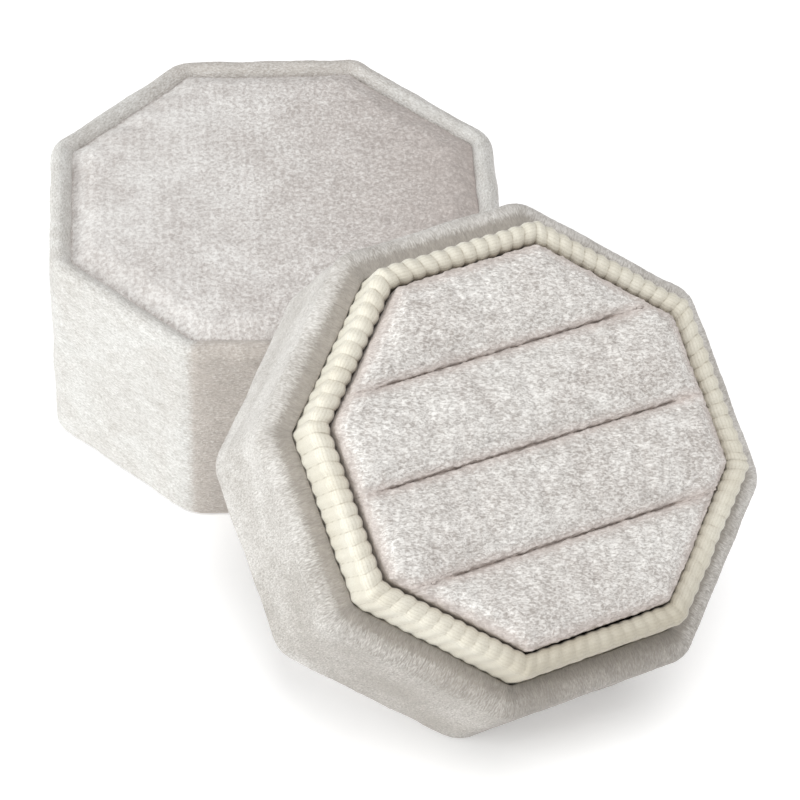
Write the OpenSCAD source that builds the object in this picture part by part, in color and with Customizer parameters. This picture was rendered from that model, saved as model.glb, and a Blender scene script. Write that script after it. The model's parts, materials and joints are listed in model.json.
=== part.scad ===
// Octagonal velvet ring box in two pieces, with the lid off.
// The lid stands on its open rim and the base leans on one of the lid's top corners.
// Units are millimetres and degrees. +Z is up. The origin is the centre of the lid's
// open rim, on the table. The base and its insert are drawn in their own upright frame,
// underside at z = 0, and in_base_pose() leans them.

/* [Box] */
// Width of the lid and of the base across their flats
across_flats = 60; // [50:1:75]
// Height of the lid, open rim to top edge
lid_h = 29.8; // [24:0.2:40]
// Height of the base, underside to rim
base_h = 23.9; // [18:0.2:32]
// Radius of the upright outer corners, seen from above
corner_r = 4.5; // [4:0.25:6]
// Smallest corner radius of the layers further in
inner_corner_r = 1.2; // [0.6:0.1:2]
// Radius of the base's soft upper and lower edges
base_edge_r = 2; // [1:0.25:2.5]
// Radius of the lid's soft upper edge
lid_edge_r = 1.3; // [0.8:0.1:2]

/* [Wall layers] */
// Thickness of the velvet with its backing
velvet_t = 0.8; // [0.6:0.1:1.2]
// Thickness of the wadding between velvet and board
wadding_t = 0.5; // [0.3:0.1:1]
// Thickness of the wall, floor and top boards
board_t = 1.8; // [1.2:0.1:2.6]
// Thickness of the lining inside the lid
lining_t = 0.4; // [0.2:0.1:0.8]
// Width of the velvet turned under the base
turn_under_w = 3; // [2.5:0.25:6]

/* [Collar] */
// Gap all round between the collar and the lining of a closed lid
lid_fit_gap = 0.5; // [0.3:0.1:0.8]
// Height of the collar above the base rim
collar_h = 6.6; // [5:0.2:12]
// Thickness of the collar board
collar_board_t = 1.4; // [0.8:0.1:1.8]
// Thickness of the ribbon wrapped over the collar
ribbon_t = 0.6; // [0.4:0.1:1]
// Length of ribbon tucked down behind the base rim
ribbon_tuck = 6; // [3:0.5:10]
// Length of the ribbon's leg inside the collar, from its top
ribbon_inner_leg = 10; // [6:0.5:14]

/* [Ring insert] */
// Gap all round between the insert and the collar
insert_gap = 0.4; // [0.3:0.1:0.8]
// Gap between the insert and the base floor
insert_seat_gap = 0.2; // [0.1:0.1:0.5]
// Thickness of the insert's card
insert_card_t = 1.2; // [0.8:0.1:2]
// Distance from one ring slit to the next
slit_pitch = 12; // [10.5:0.1:14]
// Width of a ring slit at rest
slit_w = 0.3; // [0.2:0.1:0.6]
// Depth of a ring slit below the mouth
slit_depth = 14; // [8:0.5:16]
// Solid length left between a slit's end and the edge of the insert
slit_end = 2.6; // [1.5:0.1:5]
// Height of a slit's mouth above the base rim
slit_mouth_h = 6.4; // [4:0.1:11]
// Rise of a roll's crown above the slit mouths
roll_crown = 1.4; // [0.5:0.1:3]

/* [Lid top] */
// Depth of the recess that the padded panel lies in
panel_recess = 2.6; // [2.2:0.1:4]
// Thickness of the soft roll inside the lid's raised rim
rim_roll_t = 0.7; // [0.5:0.1:1.5]
// Gap all round between the panel and the raised rim
panel_gap = 0.2; // [0.1:0.1:0.5]
// Thickness of the panel's card
panel_card_t = 0.6; // [0.4:0.1:1]
// Drop of the panel's velvet below the lid's top edge
panel_drop = 0.3; // [0:0.1:0.6]
// Thickness of the ceiling's card
ceiling_card_t = 0.8; // [0.5:0.1:1.5]

/* [Resting pose] */
// Tilt of the leaning base from level
lean = 37; // [25:0.5:50]
// Heading of the lean, turned from -Y towards +X
lean_heading = 23; // [10:0.5:35]
// Sideways offset of the base from the lid's centre
lean_offset = 3; // [-4:0.1:6]
// Gap left at the point where base and lid touch
lean_gap = 0.3; // [0.2:0.05:0.6]

/* [Hidden] */

SIDES = 8;
HALF_TURN = 180 / SIDES;
// Straight steps in the arc of one corner, and in a rounded edge
arc_steps = 4;
// Overlap of a cutting solid past the face that it opens
cut = 1;

// Apothem (centre to flat) of each layer, from outside in
outer_a = across_flats / 2;
wadding_a = outer_a - velvet_t;
board_a = wadding_a - wadding_t;
board_in_a = board_a - board_t;
lining_in_a = board_in_a - lining_t;
collar_a = lining_in_a - lid_fit_gap;
collar_board_a = collar_a - ribbon_t;
collar_board_in_a = collar_board_a - collar_board_t;
collar_in_a = collar_board_in_a - ribbon_t;
insert_a = collar_in_a - insert_gap;
rim_roll_in_a = wadding_a - rim_roll_t - wadding_t;
rim_in_a = rim_roll_in_a - velvet_t;
panel_a = rim_in_a - panel_gap;

// Heights of the lid's layers above the table
panel_seat_z = lid_h - panel_recess;
panel_top_z = lid_h - panel_drop;
top_board_z = panel_seat_z - board_t;
ceiling_velvet_z = top_board_z - ceiling_card_t - lining_t;

// Heights of the base's layers above its underside
floor_z = velvet_t + board_t;
rim_board_z = base_h - velvet_t;
collar_top_z = base_h + collar_h;
insert_z = floor_z + insert_seat_gap;
bar_z = insert_z + insert_card_t;
slit_mouth_z = base_h + slit_mouth_h;

// The lean: reach of the lid towards the base's underside, and the base's place
lid_corner = HALF_TURN * (2 * round((lean_heading - 90 - HALF_TURN) / (2 * HALF_TURN)) + 1);
corner_off = lean_heading - 90 - lid_corner;
corner_centre = (outer_a - corner_r) / cos(HALF_TURN);
lid_reach = sin(lean) * (corner_centre * cos(corner_off) + corner_r - lid_edge_r)
            + cos(lean) * (lid_h - lid_edge_r) + lid_edge_r;
lean_distance = (lid_reach + lean_gap + base_edge_r * (1 - cos(lean))) / sin(lean);
lean_dir = [sin(lean_heading), -cos(lean_heading), 0];
side_dir = [cos(lean_heading), sin(lean_heading), 0];

// Corner radius of a layer, so that layers keep their thickness round the corners
function layer_corner_r(a) = max(inner_corner_r, corner_r - (outer_a - a));

// Outline of the octagon with its corners rounded
function octagon_points(a, r) =
    [for (k = [0 : SIDES - 1], s = [0 : arc_steps])
        let (middle = HALF_TURN * (2 * k + 1), at = HALF_TURN * 2 * (k + s / arc_steps))
        (a - r) / cos(HALF_TURN) * [cos(middle), sin(middle)] + r * [cos(at), sin(at)]];

module octagon(a) polygon(octagon_points(a, layer_corner_r(a)));

module prism(a, z0, z1) translate([0, 0, z0]) linear_extrude(z1 - z0) octagon(a);

module ring(a, a_in, z0, z1) {
    translate([0, 0, z0]) linear_extrude(z1 - z0) difference() {
        octagon(a);
        octagon(a_in);
    }
}

// Half of an upright post's outline: rounded by low_r below and by high_r above
function post_points(r, h, low_r, high_r) = concat(
    [[0, 0]],
    [for (s = [0 : arc_steps]) let (at = 90 * s / arc_steps)
        [r - low_r + low_r * sin(at), low_r * (1 - cos(at))]],
    [for (s = [0 : arc_steps]) let (at = 90 * s / arc_steps)
        [r - high_r + high_r * cos(at), h - high_r + high_r * sin(at)]],
    [[0, h]]);

// Solid octagonal block with soft corners and edges
module soft_block(h, low_r, high_r) {
    hull() for (k = [0 : SIDES - 1])
        rotate(HALF_TURN * (2 * k + 1)) translate([corner_centre, 0, 0])
            rotate(-HALF_TURN) rotate_extrude($fn = SIDES * arc_steps)
                polygon(post_points(corner_r, h, low_r, high_r));
}

module in_base_pose() {
    translate(lean_distance * lean_dir + lean_offset * side_dir)
        rotate(lean_heading) translate([0, 0, base_edge_r]) rotate([lean, 0, 0])
            translate([0, outer_a - base_edge_r, -base_edge_r]) children();
}

// ---- Lid ----

module lid_velvet() color("#d6d0ca") difference() {
    translate([0, 0, -cut]) soft_block(lid_h + cut, 0, lid_edge_r);
    prism(outer_a + cut, -2 * cut, 0);
    prism(lining_in_a, -cut, velvet_t + cut);
    prism(wadding_a, velvet_t, panel_seat_z);
    prism(rim_in_a, panel_seat_z - cut, lid_h + cut);
    ring(wadding_a, rim_roll_in_a, panel_seat_z - cut, lid_h - velvet_t);
}

module lid_wadding() color("#efece6") {
    ring(wadding_a, board_a, velvet_t, panel_seat_z);
    ring(wadding_a, rim_roll_in_a, panel_seat_z, lid_h - velvet_t);
}

module lid_wall_board() color("#b9a68c") ring(board_a, board_in_a, velvet_t, panel_seat_z);

module lid_top_board() color("#b9a68c") prism(board_in_a, top_board_z, panel_seat_z);

module lid_panel_card() color("#cbbfa9")
    prism(panel_a - velvet_t, panel_seat_z, panel_seat_z + panel_card_t);

module lid_panel_foam() color("#f3eee2")
    prism(panel_a - velvet_t, panel_seat_z + panel_card_t, panel_top_z - velvet_t);

module lid_panel_velvet() color("#cdc6c0") difference() {
    prism(panel_a, panel_seat_z, panel_top_z);
    prism(panel_a - velvet_t, panel_seat_z - cut, panel_top_z - velvet_t);
}

module lid_lining() color("#e9e4da")
    ring(board_in_a, lining_in_a, velvet_t, ceiling_velvet_z);

module lid_ceiling_card() color("#cbbfa9")
    prism(board_in_a, top_board_z - ceiling_card_t, top_board_z);

module lid_ceiling_velvet() color("#cfc8c2")
    prism(board_in_a, ceiling_velvet_z, top_board_z - ceiling_card_t);

// ---- Base ----

module base_velvet() color("#cdc7c0") in_base_pose() difference() {
    soft_block(base_h, base_edge_r, base_edge_r);
    prism(outer_a - turn_under_w, -cut, velvet_t);
    prism(wadding_a, velvet_t, rim_board_z);
    prism(collar_a, rim_board_z - cut, base_h + cut);
}

module base_wadding() color("#efece6") in_base_pose()
    ring(wadding_a, board_a, velvet_t, rim_board_z);

module base_wall_board() color("#b9a68c") in_base_pose()
    ring(board_a, board_in_a, velvet_t, rim_board_z);

module base_floor_board() color("#b9a68c") in_base_pose() prism(board_in_a, velvet_t, floor_z);

module base_bottom_panel() color("#c4bdb6") in_base_pose()
    prism(outer_a - turn_under_w, 0, velvet_t);

module collar_board() color("#b9a68c") in_base_pose()
    ring(collar_board_a, collar_board_in_a, floor_z, collar_top_z - ribbon_t);

module collar_ribbon() color("#e7e0cd") in_base_pose() difference() {
    ring(collar_a, collar_in_a, base_h - ribbon_tuck, collar_top_z);
    ring(collar_board_a, collar_board_in_a, base_h - ribbon_tuck - cut, collar_top_z - ribbon_t);
    prism(collar_board_in_a, base_h - ribbon_tuck - cut, collar_top_z - ribbon_inner_leg);
}

// ---- Ring insert ----

// Outline across a roll from y0 to y1, standing on low and drawn in by inset
function roll_points(y0, y1, inset, low) =
    let (steps = 12, half = (y1 - y0) / 2, middle = (y0 + y1) / 2)
    concat(
        [[y0 + inset, low], [y1 - inset, low]],
        [for (s = [steps : -1 : -steps])
            let (u = s / steps)
            [middle + u * (half - inset),
             slit_mouth_z - inset + roll_crown * (1 - pow(abs(u), 2.5))]]);

// Edges across the insert: its two sides and the three slits
roll_edges = [-insert_a, -slit_pitch, 0, slit_pitch, insert_a];

module roll(k, inset, low) rotate([90, 0, 90])
    linear_extrude(2 * across_flats, center = true)
        polygon(roll_points(roll_edges[k], roll_edges[k + 1], inset, low));

// One roll cut to the octagon of apothem a
module cut_roll(k, a, inset, low) intersection() {
    roll(k, inset, low);
    prism(a, low, slit_mouth_z + roll_crown + cut);
}

module foam_bar(k) color("#f3eee2") in_base_pose()
    cut_roll(k, insert_a - velvet_t, velvet_t, bar_z);

module insert_card() color("#cbbfa9") in_base_pose() prism(insert_a, insert_z, bar_z);

module insert_velvet() color("#cdc6c0") in_base_pose() difference() {
    union() for (k = [0 : 3]) cut_roll(k, insert_a, 0, bar_z);
    for (k = [0 : 3]) cut_roll(k, insert_a - velvet_t, velvet_t, bar_z - cut);
    for (y = [-slit_pitch, 0, slit_pitch])
        translate([-insert_a + slit_end, y - slit_w / 2, slit_mouth_z - slit_depth])
            cube([2 * (insert_a - slit_end), slit_w, slit_depth + roll_crown]);
}

lid_velvet();
lid_wadding();
lid_wall_board();
lid_top_board();
lid_panel_card();
lid_panel_foam();
lid_panel_velvet();
lid_lining();
lid_ceiling_card();
lid_ceiling_velvet();
base_velvet();
base_wadding();
base_wall_board();
base_floor_board();
base_bottom_panel();
collar_board();
collar_ribbon();
insert_card();
foam_bar(0);  // foam_bar_1
foam_bar(1);  // foam_bar_2
foam_bar(2);  // foam_bar_3
foam_bar(3);  // foam_bar_4
insert_velvet();
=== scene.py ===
"""Looks for the octagonal velvet ring box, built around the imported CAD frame.

Lengths are in metres. The lid is modelled in the row frame. The base and the ring insert are
modelled in the base's own upright frame (underside at z = 0, slits along x) and then leaned.
"""
import json
import math

import bpy
import numpy as np
from mathutils import Matrix, Vector, noise


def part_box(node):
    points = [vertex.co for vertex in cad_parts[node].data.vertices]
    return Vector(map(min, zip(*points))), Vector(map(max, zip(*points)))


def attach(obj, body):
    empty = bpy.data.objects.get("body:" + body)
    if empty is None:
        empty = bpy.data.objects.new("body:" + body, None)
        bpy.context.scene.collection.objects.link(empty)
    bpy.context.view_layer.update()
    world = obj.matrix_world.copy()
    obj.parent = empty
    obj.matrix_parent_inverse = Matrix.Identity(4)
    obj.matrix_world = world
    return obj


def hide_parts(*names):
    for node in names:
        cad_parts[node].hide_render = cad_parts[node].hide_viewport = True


MM = 0.001
SIDES = 8
HALF = math.pi / SIDES

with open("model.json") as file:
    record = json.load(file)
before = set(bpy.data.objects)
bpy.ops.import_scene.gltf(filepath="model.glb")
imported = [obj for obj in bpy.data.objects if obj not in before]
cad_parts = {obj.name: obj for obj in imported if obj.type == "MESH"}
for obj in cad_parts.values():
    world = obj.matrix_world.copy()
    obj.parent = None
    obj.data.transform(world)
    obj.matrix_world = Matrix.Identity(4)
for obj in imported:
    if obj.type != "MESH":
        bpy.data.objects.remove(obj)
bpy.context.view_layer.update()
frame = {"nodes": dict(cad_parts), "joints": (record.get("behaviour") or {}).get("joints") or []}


# ---------------------------------------------------------------- camera

AZIMUTH = math.radians(-4.79)
ELEVATION = math.radians(43.7)
ROLL = math.radians(1.99)
DISTANCE = 501 * MM
AIM = Vector((16.91, -8.62, 0.0)) * MM
LENS = 163.8


def add_camera():
    """The camera looks along +Y, turned by AZIMUTH, and down by ELEVATION."""
    forward = Vector((-math.sin(AZIMUTH) * math.cos(ELEVATION),
                      math.cos(AZIMUTH) * math.cos(ELEVATION),
                      -math.sin(ELEVATION)))
    right = Vector((math.cos(AZIMUTH), math.sin(AZIMUTH), 0))
    up = right.cross(forward)
    x_axis = right * math.cos(ROLL) + up * math.sin(ROLL)
    y_axis = up * math.cos(ROLL) - right * math.sin(ROLL)
    turn = Matrix((x_axis, y_axis, -forward)).transposed().to_4x4()
    data = bpy.data.cameras.new("camera")
    data.lens = LENS
    data.clip_start = 0.01
    camera = bpy.data.objects.new("camera", data)
    bpy.context.scene.collection.objects.link(camera)
    camera.matrix_world = Matrix.Translation(AIM - forward * DISTANCE) @ turn
    bpy.context.scene.camera = camera


# ---------------------------------------------------------------- frames and sizes from the CAD

def joint_axis(name):
    return Vector(next(j for j in frame["joints"] if j["name"] == name)["axis"]).normalized()


def base_turn():
    """Columns are the base's own x, y and z axes in the row frame."""
    z_axis = joint_axis("base_lift")
    x_axis = Vector((-z_axis.y, z_axis.x, 0)).normalized()
    y_axis = z_axis.cross(x_axis)
    return Matrix((x_axis, y_axis, z_axis)).transposed()


def node_points(node):
    mesh = frame["nodes"][node].data
    points = np.empty(len(mesh.vertices) * 3)
    mesh.vertices.foreach_get("co", points)
    return points.reshape(-1, 3)


TURN = base_turn()
TURN_ARRAY = np.array(TURN)


def own_box(node, origin=(0, 0, 0)):
    """Lowest and highest corners of a base or insert node in the base's own frame."""
    points = node_points(node) @ TURN_ARRAY - np.array(origin)
    return points.min(0), points.max(0)


low, high = own_box("base_velvet")
ORIGIN = np.array([(low[0] + high[0]) / 2, (low[1] + high[1]) / 2, low[2]])
LEAN = Matrix.Translation(TURN @ Vector(ORIGIN)) @ TURN.to_4x4()

OUTER = (high[0] - low[0]) / 2
BASE_H = high[2] - low[2]
low, high = own_box("collar_ribbon", ORIGIN)
COLLAR = high[0]
COLLAR_TOP = high[2]
low, high = own_box("collar_board", ORIGIN)
COLLAR_BOARD = high[0]
RIBBON = COLLAR - COLLAR_BOARD
low, high = own_box("insert_velvet", ORIGIN)
INSERT = high[0]
INSERT_LOW = low[2]
INSERT_TOP = high[2]
low, high = own_box("foam_bar_3", ORIGIN)
SLIT_PITCH = low[1] + high[1]
LID_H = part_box("lid_velvet")[1].z
LID_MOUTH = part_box("lid_ceiling_velvet")[1].x
LID_BORE = LID_MOUTH - (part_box("lid_ceiling_velvet")[1].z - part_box("lid_ceiling_velvet")[0].z)
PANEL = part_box("lid_panel_velvet")[1].x
PANEL_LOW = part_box("lid_panel_velvet")[0].z
PANEL_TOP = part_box("lid_panel_velvet")[1].z
VELVET = own_box("base_bottom_panel", ORIGIN)[1][2]
# Corner radii: the outer velvet's, and the least that a layer inside it has
CORNER = 4.5 * MM
INNER_CORNER = 1.2 * MM
# How finely the two velvet covers are meshed
COVER_STEP = 0.35 * MM
COVER_PER_SIDE = 52
COVER_PER_CORNER = 12
# Distance in mm between the ribbon's fine threads
THREAD = 0.42
# The cloth simulations run at this many times the real size
CLOTH_SCALE = 20.0


# ---------------------------------------------------------------- mesh tools

class Outline:
    """Rounded octagon as evenly spaced points, with outward normals and distance round it."""

    def __init__(self, apothem, corner, per_side, per_corner):
        facing = 2 * HALF * np.arange(SIDES)[:, None]
        run = (apothem - corner) * math.tan(HALF)
        steps = run * (2 * (np.arange(per_side)[None, :] + 0.5) / per_side - 1)
        flat_x = apothem * np.cos(facing) - steps * np.sin(facing)
        flat_y = apothem * np.sin(facing) + steps * np.cos(facing)
        turns = facing + 2 * HALF * (np.arange(per_corner)[None, :] + 0.5) / per_corner
        reach = (apothem - corner) / math.cos(HALF)
        bend_x = reach * np.cos(facing + HALF) + corner * np.cos(turns)
        bend_y = reach * np.sin(facing + HALF) + corner * np.sin(turns)
        flat_turns = np.repeat(facing, per_side, 1)
        all_turns = np.concatenate([flat_turns, turns], 1).ravel()
        x = np.concatenate([flat_x, bend_x], 1).ravel()
        y = np.concatenate([flat_y, bend_y], 1).ravel()
        self.points = np.stack([x, y], -1)
        self.normals = np.stack([np.cos(all_turns), np.sin(all_turns)], -1)
        gaps = np.linalg.norm(np.roll(self.points, -1, 0) - self.points, axis=1)
        self.round = np.concatenate([[0], np.cumsum(gaps)])


def layer_corner(apothem, smallest=INNER_CORNER):
    return max(smallest, CORNER - (OUTER - apothem))


def arc(centre, radii, start, end, steps):
    """Points of an elliptical arc in (apothem, z), angles in degrees."""
    turns = np.radians(np.linspace(start, end, steps + 1))
    return [(centre[0] + radii[0] * math.cos(t), centre[1] + radii[1] * math.sin(t))
            for t in turns]


def shoulder_curve(centre, radii, fullness, steps):
    """A quarter curve from the side to the top, fuller than an ellipse where fullness > 2."""
    turns = np.radians(np.linspace(0, 90, steps + 1))
    return [(centre[0] + radii[0] * max(0.0, math.cos(t)) ** (2 / fullness),
             centre[1] + radii[1] * math.sin(t) ** (2 / fullness)) for t in turns]


def spread(profile, spacing):
    """The closed profile with points added, so that no step is longer than spacing."""
    out = []
    for here, there in zip(profile, profile[1:] + profile[:1]):
        length = math.dist(here, there)
        if length < 1e-7:
            continue
        count = max(1, math.ceil(length / spacing))
        for i in range(count):
            share = i / count
            out.append(tuple(a + (b - a) * share for a, b in zip(here, there)))
    return out


def make_object(name, vertices, faces, uvs=None):
    mesh = bpy.data.meshes.new(name)
    mesh.from_pydata(np.asarray(vertices).tolist(), [], [list(map(int, f)) for f in faces])
    if uvs is not None:
        layer = mesh.uv_layers.new(name="metric")
        layer.data.foreach_set("uv", np.asarray(uvs, np.float32).ravel())
    mesh.validate()
    mesh.polygons.foreach_set("use_smooth", [True] * len(mesh.polygons))
    mesh.update()
    obj = bpy.data.objects.new(name, mesh)
    bpy.context.scene.collection.objects.link(obj)
    return obj


def set_shade(obj, values):
    """Stores a number per vertex that the materials read as "shade"."""
    layer = obj.data.attributes.new("shade", "FLOAT", "POINT")
    layer.data.foreach_set("value", np.asarray(values, np.float32).ravel())


def sweep(name, profile, per_side, per_corner, relief, shade, corner_of=layer_corner):
    """A closed skin: the closed profile of (apothem, z) points swept round the octagon.

    relief(s, t, points) gives how far each point stands proud and shade(s, t, points) the
    number for its material, where s is the distance round the octagon and t the distance
    along the profile. UVs are s and t in mm."""
    profile = np.array(profile)
    rings = [Outline(a, corner_of(a), per_side, per_corner) for a, _ in profile]
    count = len(rings[0].points)
    rows = len(profile)
    steps = np.linalg.norm(np.roll(profile, -1, 0) - profile, axis=1)
    along = np.concatenate([[0], np.cumsum(steps)])
    tangent = np.roll(profile, -1, 0) - np.roll(profile, 1, 0)
    tangent /= np.linalg.norm(tangent, axis=1)[:, None]
    points = np.empty((rows, count, 3))
    normals = np.empty((rows, count, 3))
    for j, ring in enumerate(rings):
        points[j, :, :2] = ring.points
        points[j, :, 2] = profile[j, 1]
        normals[j, :, :2] = ring.normals * tangent[j, 1]
        normals[j, :, 2] = -tangent[j, 0]
    middle = rings[int(np.argmax(profile[:, 0]))]
    s, t = np.meshgrid(middle.round[:-1], along[:-1])
    shades = shade(s, t, points)
    points += normals * relief(s, t, points)[..., None]
    index = np.arange(rows * count).reshape(rows, count)
    right = np.roll(index, -1, 1)
    faces = np.stack([index, right, np.roll(right, -1, 0), np.roll(index, -1, 0)], -1)
    s0, t0 = np.meshgrid(middle.round[:-1], along[:-1])
    s1, t1 = np.meshgrid(middle.round[1:], along[1:])
    uvs = np.stack([np.stack([s0, t0], -1), np.stack([s1, t0], -1),
                    np.stack([s1, t1], -1), np.stack([s0, t1], -1)], 2) / MM
    obj = make_object(name, points.reshape(-1, 3), faces.reshape(-1, 4), uvs)
    set_shade(obj, shades)
    return obj


def field(points, size, seed=0.0, octaves=3):
    """Smooth noise between about -1 and 1 at each point, with features of the given size."""
    flat = points.reshape(-1, 3) / size + seed
    values = [noise.fractal(Vector(p), 1.0, 2.0, octaves) for p in flat]
    return np.array(values).reshape(points.shape[:-1])


def fine_field(points, size, seed=0):
    """Quick noise for dense meshes: sums of waves in fixed random directions."""
    random = np.random.default_rng(seed)
    total = np.zeros(points.shape[:-1])
    waves = 14
    for _ in range(waves):
        direction = random.normal(size=3)
        direction *= 2 * math.pi / (size * np.linalg.norm(direction)) * random.uniform(0.7, 1.4)
        total += np.sin(points @ direction + random.uniform(0, 2 * math.pi))
    return total / math.sqrt(waves)


def place(obj, turn, material, body, slot, *nodes):
    """Leans the mesh, gives it its material and ties it to the frame."""
    obj.data.transform(turn)
    obj.data.materials.append(material)
    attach(obj, body)
    if nodes:
        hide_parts(*nodes)
    return obj


# ---------------------------------------------------------------- materials

def socket_name(key):
    return key.replace("_", " ").title().replace("Ior", "IOR")


class Shader:
    """A small builder for node materials."""

    def __init__(self, name):
        self.material = bpy.data.materials.new(name)
        self.material.use_nodes = True
        self.tree = self.material.node_tree
        self.bsdf = self.tree.nodes["Principled BSDF"]

    def node(self, kind, **settings):
        made = self.tree.nodes.new(kind)
        for key, value in settings.items():
            if hasattr(made, key):
                setattr(made, key, value)
            else:
                made.inputs[socket_name(key)].default_value = value
        return made

    def link(self, output, target):
        self.tree.links.new(output, target)

    def coordinates(self, stretch=(1, 1, 1), use_uv=False):
        """Coordinates in millimetres, stretched."""
        source = self.node("ShaderNodeTexCoord")
        mapping = self.node("ShaderNodeMapping")
        scale = 1.0 if use_uv else 1 / MM
        mapping.inputs["Scale"].default_value = [scale * s for s in stretch]
        self.link(source.outputs["UV" if use_uv else "Object"], mapping.inputs["Vector"])
        return mapping.outputs["Vector"]

    def noise(self, coordinates, size, detail=2.0, distortion=0.0, roughness=0.5):
        """Noise with features of the given size in mm."""
        made = self.node("ShaderNodeTexNoise")
        made.inputs["Scale"].default_value = 1 / size
        made.inputs["Detail"].default_value = detail
        made.inputs["Roughness"].default_value = roughness
        made.inputs["Distortion"].default_value = distortion
        self.link(coordinates, made.inputs["Vector"])
        return made.outputs["Fac"]

    def ramp(self, value, stops):
        made = self.node("ShaderNodeValToRGB")
        elements = made.color_ramp.elements
        while len(elements) < len(stops):
            elements.new(0.5)
        for element, (position, colour) in zip(elements, stops):
            element.position = position
            element.color = (*colour, 1)
        self.link(value, made.inputs["Fac"])
        return made.outputs["Color"]

    def mix(self, factor, first, second, blend="MIX"):
        made = self.node("ShaderNodeMix", data_type="RGBA", blend_type=blend)
        for value, name in ((factor, "Factor"), (first, "A"), (second, "B")):
            socket = next(s for s in made.inputs if s.name == name and s.enabled)
            if hasattr(value, "is_output"):
                self.link(value, socket)
            elif isinstance(value, tuple):
                socket.default_value = (*value, 1)
            else:
                socket.default_value = value
        return next(s for s in made.outputs if s.enabled)

    def ramp_value(self, value, low, high):
        """0 at low, 1 at high and smooth between."""
        made = self.node("ShaderNodeMapRange", interpolation_type="SMOOTHSTEP")
        made.inputs["From Min"].default_value = low
        made.inputs["From Max"].default_value = high
        self.link(value, made.inputs["Value"])
        return made.outputs["Result"]

    def maths(self, operation, first, second=0.0):
        made = self.node("ShaderNodeMath", operation=operation)
        for value, socket in ((first, made.inputs[0]), (second, made.inputs[1])):
            if hasattr(value, "is_output"):
                self.link(value, socket)
            else:
                socket.default_value = value
        return made.outputs["Value"]

    def bump(self, height, distance, strength=1.0, after=None):
        made = self.node("ShaderNodeBump")
        made.inputs["Distance"].default_value = distance
        made.inputs["Strength"].default_value = strength
        self.link(height, made.inputs["Height"])
        if after is not None:
            self.link(after, made.inputs["Normal"])
        return made.outputs["Normal"]

    def finish(self, colour=None, normal=None, roughness=0.8, **constants):
        if colour is not None:
            self.link(colour, self.bsdf.inputs["Base Color"])
        if normal is not None:
            self.link(normal, self.bsdf.inputs["Normal"])
        self.bsdf.inputs["Roughness"].default_value = roughness
        for key, value in constants.items():
            self.bsdf.inputs[socket_name(key)].default_value = value
        return self.material


def srgb(r, g, b):
    """A colour on the 0 to 255 scale, as linear light."""
    return tuple(((c / 255 + 0.055) / 1.055) ** 2.4 if c > 10 else c / 255 / 12.92
                 for c in (r, g, b))


def around(shader, value, colour):
    """The colour, a little darker and lighter as the noise falls and rises."""
    return shader.ramp(value, [(0.34, tuple(0.76 * c for c in colour)),
                               (0.66, tuple(min(1.0, 1.16 * c) for c in colour))])


def velvet(name, light, dark, deep, streak=(1, 1, 1), fleck=0.35, contrast=1.0,
           use_uv=False, mottle=0.45, ribs=0.0, pile=0.12 * MM, shaded=True):
    """Short-pile velvet: fine flecks, brushed streaks and broad patches of leaning nap.

    Where a shaded mesh's shade is 0 it shows the deep colour with softer flecks: painted shade."""
    shader = Shader(name)
    even = shader.coordinates(use_uv=use_uv)
    directional = shader.coordinates(streak, use_uv=use_uv)
    flecks = shader.noise(directional, fleck, detail=3, distortion=0.6, roughness=0.65)
    streaks = shader.noise(directional, fleck * 5, detail=4, distortion=0.5, roughness=0.6)
    patches = shader.noise(even, 8.0, detail=2, distortion=0.8)
    width = 0.2 / contrast
    fleck_colour = shader.ramp(flecks, [(0.5 - width, dark), (0.5 + width, light)])
    streak_colour = shader.ramp(streaks, [(0.32, dark), (0.66, light)])
    patch_colour = shader.ramp(patches, [(0.36, light), (0.66, deep)])
    colour = shader.mix(0.3, fleck_colour, streak_colour)
    colour = shader.mix(mottle, colour, patch_colour)
    if ribs:
        wave = shader.node("ShaderNodeTexWave", wave_type="BANDS", bands_direction="X")
        wave.inputs["Scale"].default_value = BAND / 1.25
        wave.inputs["Distortion"].default_value = 1.5
        wave.inputs["Detail"].default_value = 2.0
        shader.link(even, wave.inputs["Vector"])
        colour = shader.mix(ribs, colour, shader.ramp(wave.outputs["Fac"], [(0, dark), (1, light)]))
    if shaded:
        # Painted shade: where the shade attribute is low the colour turns to the darker deep
        # colour, with softer flecks.
        smooth = shader.mix(0.35, around(shader, flecks, deep), around(shader, streaks, deep))
        shade = shader.node("ShaderNodeAttribute", attribute_name="shade").outputs["Fac"]
        shade_level = shader.maths("ADD", shade, shader.maths("SUBTRACT", flecks, 0.5))
        colour = shader.mix(shader.ramp_value(shade_level, 0.1, 0.9), smooth, colour)
    normal = shader.bump(flecks, pile, 1.0)
    return shader.finish(colour, normal, roughness=0.95, sheen_weight=0.22,
                         sheen_roughness=0.4, sheen_tint=(1.0, 0.99, 0.97, 1.0),
                         specular_ior_level=0.15)


# A wave texture's scale for bands 1 mm apart
BAND = 2 * math.pi / 20


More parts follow.
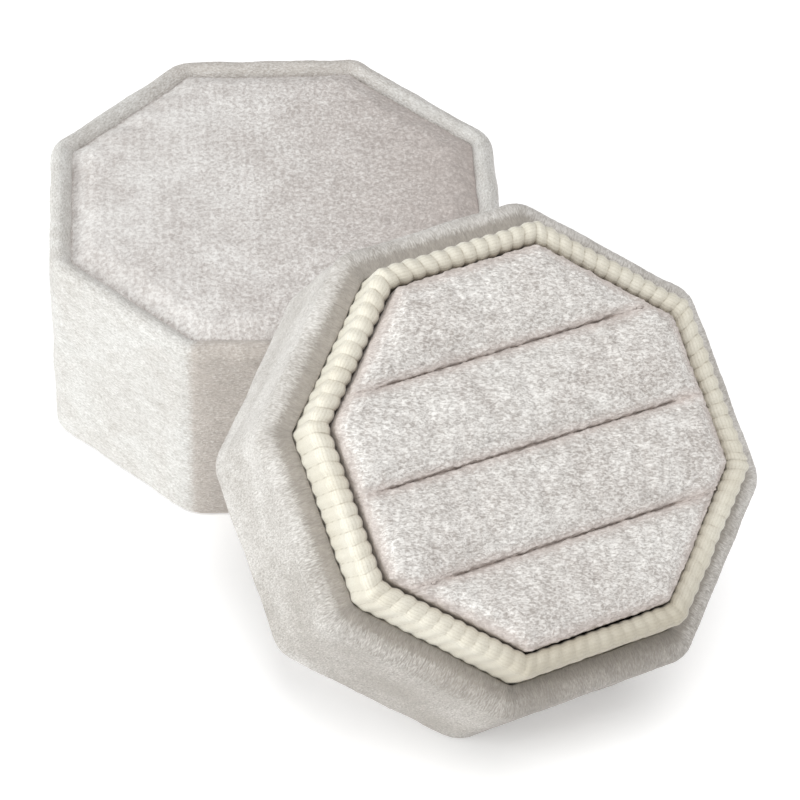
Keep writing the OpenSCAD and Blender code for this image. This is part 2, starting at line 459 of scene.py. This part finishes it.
def grosgrain(name):
    """Ivory ribbon: the mesh gives the cross ribs; the shade attribute paints shade into each
    groove between the ribs and onto the front.
    """
    shader = Shader(name)
    place_mm = shader.coordinates(use_uv=True)
    wave = shader.node("ShaderNodeTexWave", wave_type="BANDS", bands_direction="Y")
    wave.inputs["Scale"].default_value = BAND / THREAD
    wave.inputs["Distortion"].default_value = 0.8
    wave.inputs["Detail"].default_value = 1.0
    shader.link(place_mm, wave.inputs["Vector"])
    grain = shader.noise(place_mm, 0.22, detail=3, distortion=0.3)
    tone = shader.noise(place_mm, 5.0, detail=2)
    threads = shader.ramp(wave.outputs["Fac"],
                          [(0.0, srgb(188, 181, 163)), (0.45, srgb(226, 221, 207))])
    satin = shader.ramp(tone, [(0.35, srgb(215, 208, 191)), (0.65, srgb(228, 224, 211))])
    fibres = shader.ramp(grain, [(0.3, srgb(196, 189, 171)), (0.6, srgb(230, 226, 213))])
    colour = shader.mix(0.35, shader.mix(0.4, satin, threads), fibres)
    shade = shader.node("ShaderNodeAttribute", attribute_name="shade").outputs["Fac"]
    # Painted shade where the shade attribute is low.
    colour = shader.mix(shader.ramp_value(shade, 0.0, 0.55), RIBBON_PAINTED_SHADE, colour)
    height = shader.maths("ADD", wave.outputs["Fac"], shader.maths("MULTIPLY", grain, 0.7))
    normal = shader.bump(height, 0.06 * MM, 0.9)
    return shader.finish(colour, normal, roughness=0.5, sheen_weight=0.15,
                         sheen_roughness=0.4, specular_ior_level=0.35)


def board(name, light, dark, fibre=0.6):
    shader = Shader(name)
    place_mm = shader.coordinates()
    fibres = shader.noise(shader.coordinates((1, 5, 5)), fibre, detail=4, distortion=0.5)
    specks = shader.noise(place_mm, 0.3, detail=2)
    colour = shader.mix(0.4, shader.ramp(fibres, [(0.3, dark), (0.7, light)]),
                        shader.ramp(specks, [(0.3, dark), (0.6, light)]))
    return shader.finish(colour, shader.bump(fibres, 0.05 * MM, 0.8), roughness=0.9)


def foam(name):
    shader = Shader(name)
    cells = shader.node("ShaderNodeTexVoronoi", feature="F1")
    cells.inputs["Scale"].default_value = 1 / 0.5
    shader.link(shader.coordinates(), cells.inputs["Vector"])
    colour = shader.ramp(cells.outputs["Distance"],
                         [(0.1, srgb(214, 206, 186)), (0.6, srgb(243, 238, 226))])
    return shader.finish(colour, shader.bump(cells.outputs["Distance"], 0.25 * MM, 1.0),
                         roughness=0.95)


def satin(name):
    shader = Shader(name)
    fine = shader.noise(shader.coordinates((6, 6, 1)), 1.2, detail=3)
    colour = shader.ramp(fine, [(0.3, srgb(222, 216, 203)), (0.7, srgb(238, 234, 224))])
    return shader.finish(colour, shader.bump(fine, 0.04 * MM, 0.6), roughness=0.4,
                         sheen_weight=0.3, sheen_roughness=0.3)


# Colour of the painted shade in each groove of the ribbon and on its front.
RIBBON_PAINTED_SHADE = srgb(160, 150, 130)
LID_COVER = velvet("velvet_lid", srgb(229, 228, 225), srgb(164, 160, 154),
                   srgb(188, 179, 171), streak=(0.8, 1.7, 1), use_uv=True, mottle=0.16,
                   contrast=1.3)
BASE_COVER = velvet("velvet_base", srgb(222, 219, 215), srgb(154, 148, 141),
                    srgb(166, 160, 153), streak=(2.4, 0.6, 1), use_uv=True, mottle=0.26,
                    fleck=0.42, contrast=1.6)
PANEL_PILE = velvet("velvet_panel", srgb(239, 237, 234), srgb(176, 169, 165),
                    srgb(186, 177, 172), fleck=0.46, contrast=1.6, mottle=0.26, ribs=0.08)
FLAT_PILE = velvet("velvet_flat", srgb(226, 223, 219), srgb(164, 156, 152),
                   srgb(198, 188, 184), fleck=0.5, contrast=1.2, mottle=0.4, shaded=False)
PLUSH = velvet("velvet_plush", srgb(250, 248, 244), srgb(146, 138, 132),
               srgb(203, 193, 187), streak=(0.55, 1.25, 1), fleck=0.29, contrast=1.7,
               mottle=0.2)
RIBBON_CLOTH = grosgrain("ribbon_grosgrain")
GREYBOARD = board("greyboard", srgb(176, 162, 142), srgb(138, 124, 106))
CARD = board("card", srgb(214, 204, 184), srgb(188, 176, 154), fibre=0.4)
FOAM = foam("foam")
WADDING = board("wadding", srgb(244, 242, 238), srgb(224, 221, 214), fibre=1.2)
LINING = satin("lining_satin")


def dress(node, material):
    """Gives a CAD node that stays its material."""
    slots = frame["nodes"][node].data.materials
    slots.clear()
    slots.append(material)


# ---------------------------------------------------------------- covers

def velvet_relief(depth, seed):
    """Pile that stands a little uneven, over cloth that is a little wavy.

    Close to the foot nothing stands proud, so that the box rests on its own underside."""
    def relief(s, t, points):
        coarse = 0.35 * fine_field(points, 0.9 * MM, seed)
        pile = coarse + 0.3 * fine_field(points, 0.5 * MM, seed + 1)
        total = depth * pile + 0.07 * MM * fine_field(points, 7 * MM, seed + 2)
        risen = np.clip(points[..., 2] / (2 * MM), 0, 1)
        return np.minimum(total, total * risen)

    return relief


def lid_painted_shade(s, t, points):
    """Painted shade: darker on the front wall and over the back of the rim."""
    heading = np.degrees(np.arctan2(points[..., 1], points[..., 0]))
    front = np.clip((24 - np.abs(heading + 90)) / 3, 0, 1)
    high = np.clip((points[..., 2] - (LID_H - 2 * MM)) / MM, 0, 1)
    back = np.clip(2 * points[..., 1] / OUTER - 1, 0, 1) * high
    return 1 - np.maximum(0.65 * front, 0.55 * back)


def lid_cover():
    """Outer velvet of the lid: under the open rim, up the wall, over the raised rim."""
    edge = 0.8 * MM
    rim_in = PANEL + 0.1 * MM
    bead = (OUTER - rim_in) / 2
    skin = VELVET
    crest = 1.5 * MM
    outside = [(LID_BORE, 0.0)]
    outside += arc((OUTER - edge, edge), (edge, edge), -90, 0, 4)
    outside += arc((OUTER - bead, LID_H - crest), (bead, crest), 0, 180, 18)
    outside += [(rim_in, PANEL_LOW), (rim_in + 0.4 * MM, PANEL_LOW)]
    inside = [(rim_in + 0.4 * MM, LID_H - 2 * crest), (OUTER - bead, LID_H - crest),
              (OUTER - skin, LID_H - 2 * crest), (OUTER - skin, skin), (LID_BORE, skin)]
    profile = spread(outside + inside, COVER_STEP)
    obj = sweep("lid_velvet_cover", profile, COVER_PER_SIDE, COVER_PER_CORNER,
                velvet_relief(0.05 * MM, 3), lid_painted_shade)
    return place(obj, Matrix(), LID_COVER, "lid", "velvet", "lid_velvet")


def base_cover():
    """Outer velvet of the base: turned under, up the wall, over the soft shoulder."""
    edge = 2.0 * MM
    shoulder = (3.2 * MM, 2.4 * MM)
    lip = (0.3 * MM, 0.35 * MM)
    foot = COLLAR + 0.02 * MM
    skin = VELVET
    outside = [(OUTER - 3 * MM, 0.0)]
    outside += arc((OUTER - edge, edge), (edge, edge), -90, 0, 6)
    outside += shoulder_curve((OUTER - shoulder[0], BASE_H - shoulder[1]), shoulder, 2.6, 14)
    outside += arc((foot + lip[0], BASE_H - lip[1]), lip, 90, 180, 3)
    outside += [(foot, BASE_H - 4 * MM), (foot + skin / 2, BASE_H - 4 * MM)]
    inside = [(foot + skin / 2, BASE_H - 1.2 * MM), (OUTER - shoulder[0], BASE_H - 1.2 * MM),
              (OUTER - skin, BASE_H - shoulder[1]), (OUTER - skin, skin),
              (OUTER - 3 * MM, skin)]
    profile = spread(outside + inside, COVER_STEP)

    def darker_ledge_and_front_shade(s, t, points):
        """Darker, with softer flecks, on the flat just inside the rim; painted shade towards the
        front.
        """
        inset = edge_distance(OUTER, 0, points[..., 0], points[..., 1])
        above = np.clip((points[..., 2] - (BASE_H - 1.6 * MM)) / (1.6 * MM), 0, 1)
        front = np.clip(-(0.4 * points[..., 0] + points[..., 1]) / OUTER, 0, 1)
        # Painted shade on the faces towards the front.
        directional = 0.7 * front * (1 + 0.25 * fine_field(points, 12 * MM, 17))
        return 1 - np.maximum(np.clip((inset - 0.8 * MM) / (1.6 * MM), 0, 1) * above, directional)

    obj = sweep("base_velvet_cover", profile, COVER_PER_SIDE, COVER_PER_CORNER,
                velvet_relief(0.06 * MM, 13), darker_ledge_and_front_shade)
    return place(obj, LEAN, BASE_COVER, "base", "velvet", "base_velvet")


def ribbon_cover():
    """Grosgrain ribbon folded over the collar: puffed cross ribs, gathered at the corners."""
    rib = 1.75 * MM
    depth = 0.26 * MM
    crown = (COLLAR - INSERT - 0.4 * MM) / 2
    middle = COLLAR - crown
    inner = COLLAR - 2 * crown
    tuck = 3 * MM
    leg = 9 * MM
    outside = [(COLLAR, BASE_H - tuck)]
    outside += arc((middle, COLLAR_TOP - crown), (crown, crown), 0, 180, 34)
    inside = [(inner, COLLAR_TOP - leg), (inner + RIBBON, COLLAR_TOP - leg),
              (inner + RIBBON, COLLAR_TOP - crown), (middle, COLLAR_TOP - RIBBON),
              (COLLAR_BOARD, COLLAR_TOP - crown), (COLLAR_BOARD, BASE_H - tuck)]
    profile = spread(outside + inside, 0.3 * MM)

    def over_crest(t):
        """0 up the collar's outside and 1 from where the ribbon turns over its top."""
        return np.clip((t - 8 * MM) / (2 * MM), 0, 1)

    def puff(s, t):
        """0 in a groove and 1 on a rib; the ribs lean and wander a little."""
        lean = 0.14 * t * np.sin(s / (31 * MM) + 0.6)
        wander = 0.30 * MM * np.sin(s / (5.3 * MM) + 1) * np.sin(s / (13 * MM))
        return np.abs(np.sin(math.pi * (s + lean + wander) / rib))

    def facing_front(points):
        return np.clip(-points[..., 1] / COLLAR, 0, 1)

    def relief(s, t, points):
        threads = 0.5 + 0.5 * np.cos(2 * math.pi * t / (THREAD * MM))
        crest = over_crest(t)
        wave = 0.05 * MM * fine_field(points, 4 * MM, 21)
        pulled = 1 - 0.4 * facing_front(points)
        ribs = depth * pulled * (0.8 + 0.2 * crest) * (puff(s, t) ** (2.0 - 1.0 * crest) - 0.6)
        return ribs + 0.08 * MM * threads * crest + wave

    # Painted shade: low in each groove between the ribs and on the front faces.
    def groove_and_front_shade(s, t, points):
        crest = over_crest(t)
        front = facing_front(points)
        open_groove = puff(s, t) ** 0.7 + 0.16 - 0.04 * crest + 0.15 * front
        return np.clip(np.minimum(open_groove, 1 - 0.75 * front), 0, 1)

    obj = sweep("collar_ribbon_cover", profile, 112, 10, relief, groove_and_front_shade,
                corner_of=lambda a: max(INNER_CORNER, 1.8 * MM - (COLLAR - a)))
    return place(obj, LEAN, RIBBON_CLOTH, "base", "ribbon", "collar_ribbon")


# ---------------------------------------------------------------- padded pieces

def half_width(apothem, corner, y):
    """Half the octagon's width along x at y, measured just inside its two flat ends."""
    outline = Outline(apothem, corner, 40, 16).points
    right = outline[outline[:, 0] > 0]
    order = np.argsort(right[:, 1])
    inside = apothem - 0.01 * MM
    return np.interp(np.clip(y, -inside, inside), right[order, 1], right[order, 0])


def edge_distance(apothem, corner, x, y):
    """Distance in from the octagon's edge, measured to its flats."""
    turns = 2 * HALF * np.arange(SIDES)
    reach = x[..., None] * np.cos(turns) + y[..., None] * np.sin(turns)
    return apothem - reach.max(-1)


def pillow(name, apothem, corner, rows, columns, height, low, layers, slant=None):
    """A closed pad over the octagon: a top and a back of rows x columns points, and sides.

    height(x, y, row, inset) gives the top's height, and slant(row) the slope of a row.
    Returns the object, the row value of each point and the number of points on top."""
    row = np.repeat(rows[:, None], len(columns), 1)
    x = half_width(apothem, corner, rows)[:, None] * columns[None, :]
    y = row if slant is None else row + slant(row) * x
    x = half_width(apothem, corner, y) * columns[None, :]
    top = np.stack([x, y, height(x, y, row, edge_distance(apothem, corner, x, y))], -1)
    back = top.copy()
    back[..., 2] = low
    count = x.size
    index = np.arange(count).reshape(x.shape)
    sheet = np.stack([index[:-1, :-1], index[:-1, 1:], index[1:, 1:], index[1:, :-1]], -1)
    sheet = sheet.reshape(-1, 4)
    border = np.concatenate([index[0, :], index[1:, -1], index[-1, -2::-1], index[-2:0:-1, 0]])
    points = [top.reshape(-1, 3), back.reshape(-1, 3)]
    faces = [sheet, sheet[:, ::-1] + count]
    upper = border
    for layer in range(1, layers + 1):
        if layer < layers:
            ring = points[0][border].copy()
            ring[:, 2] += (low - ring[:, 2]) * layer / layers
            lower = 2 * count + (layer - 1) * len(border) + np.arange(len(border))
            points.append(ring)
        else:
            lower = border + count
        faces.append(np.stack([upper, lower, np.roll(lower, -1), np.roll(upper, -1)], -1))
        upper = lower
    rows_of = np.concatenate([row.ravel(), row.ravel(), np.tile(row.ravel()[border], layers - 1)])
    return make_object(name, np.concatenate(points), np.concatenate(faces)), rows_of, count


def puff_up(obj, pinned, lift, slack, frames):
    """Cloth simulation, scaled up: the free cloth is pushed up against its pins."""
    mesh = obj.data
    mesh.transform(Matrix.Scale(CLOTH_SCALE, 4))
    group = obj.vertex_groups.new(name="pins")
    group.add([int(i) for i in np.flatnonzero(pinned)], 1.0, "REPLACE")
    modifier = obj.modifiers.new("cloth", "CLOTH")
    settings = modifier.settings
    settings.quality = 6
    settings.mass = 0.25
    settings.tension_stiffness = 20
    settings.compression_stiffness = 20
    settings.shear_stiffness = 8
    settings.bending_stiffness = 0.6
    settings.vertex_group_mass = "pins"
    settings.shrink_min = -slack
    settings.effector_weights.gravity = -lift
    modifier.collision_settings.use_collision = False
    modifier.point_cache.frame_start = 1
    modifier.point_cache.frame_end = frames
    scene = bpy.context.scene
    for number in range(1, frames + 1):
        scene.frame_set(number)
    held = obj.evaluated_get(bpy.context.evaluated_depsgraph_get()).to_mesh()
    points = np.empty(len(held.vertices) * 3)
    held.vertices.foreach_get("co", points)
    obj.modifiers.remove(modifier)
    scene.frame_set(1)
    obj.vertex_groups.clear()
    mesh.vertices.foreach_set("co", points / CLOTH_SCALE)
    mesh.update()
    return points.reshape(-1, 3) / CLOTH_SCALE


def set_points(obj, points):
    obj.data.vertices.foreach_set("co", np.asarray(points, np.float32).ravel())
    obj.data.update()


def get_points(obj):
    points = np.empty(len(obj.data.vertices) * 3)
    obj.data.vertices.foreach_get("co", points)
    return points.reshape(-1, 3)


def refine(obj):
    """One level of subdivision, applied."""
    modifier = obj.modifiers.new("smooth", "SUBSURF")
    modifier.levels = modifier.render_levels = 1
    bpy.context.view_layer.objects.active = obj
    with bpy.context.temp_override(object=obj, active_object=obj, selected_objects=[obj]):
        bpy.ops.object.modifier_apply(modifier="smooth")


def vertex_normals(obj):
    normals = np.empty(len(obj.data.vertices) * 3, np.float32)
    obj.data.vertex_normals.foreach_get("vector", normals)
    return normals.reshape(-1, 3)


def eased(start, end, count, power=1.6):
    """Points from start to end, closer together at both ends."""
    share = np.linspace(-1, 1, count)
    bent = np.sign(share) * (1 - (1 - np.abs(share)) ** power)
    return start + (end - start) * (bent + 1) / 2


def eased_rows(edges, count, power):
    """Rows from edge to edge, closer together at each edge."""
    parts = [eased(a, b, count, power)[:-1] for a, b in zip(edges, edges[1:])]
    return np.concatenate(parts + [[edges[-1]]])


def grow(obj, lift, slack, frames, depth, free):
    """Simulates the pad and keeps at most depth of each free point's movement."""
    start = get_points(obj)
    moved = np.clip(puff_up(obj, ~free, lift, slack, frames) - start, -depth, depth)
    return start + moved * free[:, None]


def ring_cushion():
    """Four plush rolls under one velvet cover, tucked in between at three ring slits."""
    slits = np.array([-SLIT_PITCH, 0.0, SLIT_PITCH])
    apothem = INSERT + 0.1 * MM
    rows = eased_rows([-apothem, *slits, apothem], 30, 2.2)
    columns = eased(-1, 1, 110, 1.4)
    corner = 1.8 * MM
    crest = INSERT_TOP - 0.2 * MM
    slit_end = 3.2 * MM
    shoulder = (2.0 * MM, 1.6 * MM)

    def slant(row):
        """The slits run slightly askew, the middle one the most."""
        return -0.022 * np.clip(1 - (row / INSERT) ** 2, 0, 1)

    def to_slit(row):
        return np.min(np.abs(row[..., None] - slits), -1)

    def height(x, y, row, inset):
        near = to_slit(row)
        reach = np.clip((inset - slit_end) / (1.2 * MM), 0, 1)
        groove = 0.75 * MM * np.exp(-(near / (0.10 * MM)) ** 2) * reach
        soft = 0.80 * MM * np.exp(-near / (1.2 * MM)) * np.clip(inset / slit_end, 0, 1)
        edge = np.clip(1 - np.clip(inset, 0, None) / shoulder[0], 0, 1)
        fall = shoulder[1] * (1 - np.sqrt(np.clip(1 - edge ** 2, 0, 1)))
        return crest - groove - soft - fall

    obj, row, top = pillow("insert_velvet_cover", apothem, corner, rows, columns, height,
                           INSERT_LOW, 8, slant)
    start = get_points(obj)
    inset = edge_distance(apothem, corner, start[:, 0], start[:, 1])
    near = to_slit(row)
    free = (np.arange(len(start)) < top) & (inset > 0.3 * MM)
    free &= (near > 0.25 * MM) | (inset < slit_end)
    points = grow(obj, lift=0.35, slack=0.02, frames=24, depth=0.8 * MM, free=free)
    lips = free & (inset > slit_end)
    points[lips, 1] = start[lips, 1] + 0.3 * (points[lips, 1] - start[lips, 1])
    set_points(obj, points)
    # Painted shade: darker, with softer flecks, towards the slits and at the edge by the ribbon;
    # near the slits it is partly the nap lying smoother too.
    set_shade(obj, np.minimum(np.clip(0.15 + near / (2.1 * MM), 0, 1),
                              np.clip(0.1 + inset / (2.2 * MM), 0, 1)))
    refine(obj)
    points = get_points(obj)
    normals = vertex_normals(obj)
    stretch = np.array([0.6, 1.3, 1.0])
    tufts = points * stretch
    pile = 0.07 * fine_field(tufts, 0.8 * MM, 31) + 0.05 * fine_field(tufts, 0.5 * MM, 32)
    sag = 0.14 * field(points, 8 * MM, 4.0)
    proud = np.clip((points[:, 2] - (crest - 3 * MM)) / (2 * MM), 0, 1)
    points += normals * ((pile + sag) * proud * MM)[:, None]
    set_points(obj, points)
    place(obj, LEAN, PLUSH, "insert", "velvet", "insert_velvet")
    return obj


def lid_panel():
    """Padded velvet panel in the lid's recess, puffed and pulled down round its edge."""
    apothem = PANEL + 0.8 * MM
    rows = eased(-apothem, apothem, 104, 1.4)
    columns = eased(-1, 1, 104, 1.4)
    corner = 4.0 * MM
    shoulder = (5.6 * MM, 2.0 * MM)
    crown = PANEL_TOP

    def height(x, y, row, inset):
        edge = np.clip(1 - np.clip(inset, 0, None) / shoulder[0], 0, 1)
        return crown - shoulder[1] * (1 - np.sqrt(np.clip(1 - edge ** 3, 0, 1)))

    obj, _, top = pillow("lid_panel_cover", apothem, corner, rows, columns, height,
                         PANEL_LOW, 2)
    start = get_points(obj)
    inset = edge_distance(apothem, corner, start[:, 0], start[:, 1])
    free = (np.arange(len(start)) < top) & (inset > 0.5 * MM)
    set_points(obj, grow(obj, lift=0.12, slack=0.01, frames=20, depth=0.5 * MM, free=free))
    # Painted shade: the panel darkens from left to right, as if lit from the left, and darkens at
    # its edge where it tucks under the rim.
    directional = 0.64 - 0.48 * start[:, 0] / PANEL
    set_shade(obj, np.clip(inset / (1.4 * MM), 0, 1) * directional)
    refine(obj)
    points = get_points(obj)
    normals = vertex_normals(obj)
    pile = 0.03 * fine_field(points, 1.0 * MM, 41) + 0.02 * fine_field(points, 0.6 * MM, 42)
    proud = np.clip((points[:, 2] - PANEL_LOW) / (0.5 * MM), 0, 1)
    points += normals * ((pile + 0.12 * field(points, 8 * MM, 9.0)) * proud * MM)[:, None]
    set_points(obj, points)
    place(obj, Matrix(), PANEL_PILE, "lid", "velvet", "lid_panel_velvet")
    return obj


# ---------------------------------------------------------------- stage

def add_floor():
    size = 3.0
    drop = 0.02 * MM
    corners = [(-size, -size, 0), (size, -size, 0), (size, size, 0), (-size, size, 0)]
    floor = make_object("floor", np.array(corners), [(0, 1, 2, 3)])
    floor.location.z = -drop
    shader = Shader("floor_white")
    shader.bsdf.inputs["Base Color"].default_value = (0.86, 0.86, 0.86, 1)
    shader.bsdf.inputs["Emission Color"].default_value = (1, 1, 1, 1)
    floor.data.materials.append(shader.finish(roughness=1.0, specular_ior_level=0.0,
                                              emission_strength=0.30))


def add_light(name, heading, height, distance, size, power, colour):
    """A square soft light at a compass heading (degrees from +X), aimed at the object."""
    centre = Vector((0.012, -0.025, 0.02))
    turn, lift = math.radians(heading), math.radians(height)
    away = Vector((math.cos(turn) * math.cos(lift), math.sin(turn) * math.cos(lift),
                   math.sin(lift)))
    data = bpy.data.lights.new(name, "AREA")
    data.shape = "SQUARE"
    data.size = size
    data.energy = power
    data.color = colour
    light = bpy.data.objects.new(name, data)
    bpy.context.scene.collection.objects.link(light)
    light.location = centre + away * distance
    light.rotation_euler = (-away).to_track_quat("-Z", "Y").to_euler()


def add_lights():
    world = bpy.data.worlds.new("studio")
    world.use_nodes = True
    world.node_tree.nodes["Background"].inputs["Color"].default_value = (1, 1, 1, 1)
    world.node_tree.nodes["Background"].inputs["Strength"].default_value = 0.49
    bpy.context.scene.world = world
    add_light("key_left", heading=196, height=13, distance=0.9, size=0.5, power=5.6,
              colour=(0.97, 1.0, 1.0))
    add_light("front_soft", heading=285, height=70, distance=1.0, size=0.5, power=5.2,
              colour=(1, 1, 1))
    bpy.context.scene.view_settings.view_transform = "Standard"
    bpy.context.scene.view_settings.look = "None"


# ---------------------------------------------------------------- assembly

add_camera()
lid_cover()
lid_panel()
base_cover()
ribbon_cover()
ring_cushion()
for name in ("lid_wall_board", "lid_top_board", "base_wall_board", "base_floor_board",
             "collar_board"):
    dress(name, GREYBOARD)
for name in ("lid_panel_card", "lid_ceiling_card", "insert_card"):
    dress(name, CARD)
for name in ("foam_bar_1", "foam_bar_2", "foam_bar_3", "foam_bar_4", "lid_panel_foam"):
    dress(name, FOAM)
for name in ("lid_wadding", "base_wadding"):
    dress(name, WADDING)
dress("lid_lining", LINING)
dress("lid_ceiling_velvet", FLAT_PILE)
dress("base_bottom_panel", FLAT_PILE)
add_floor()
add_lights()
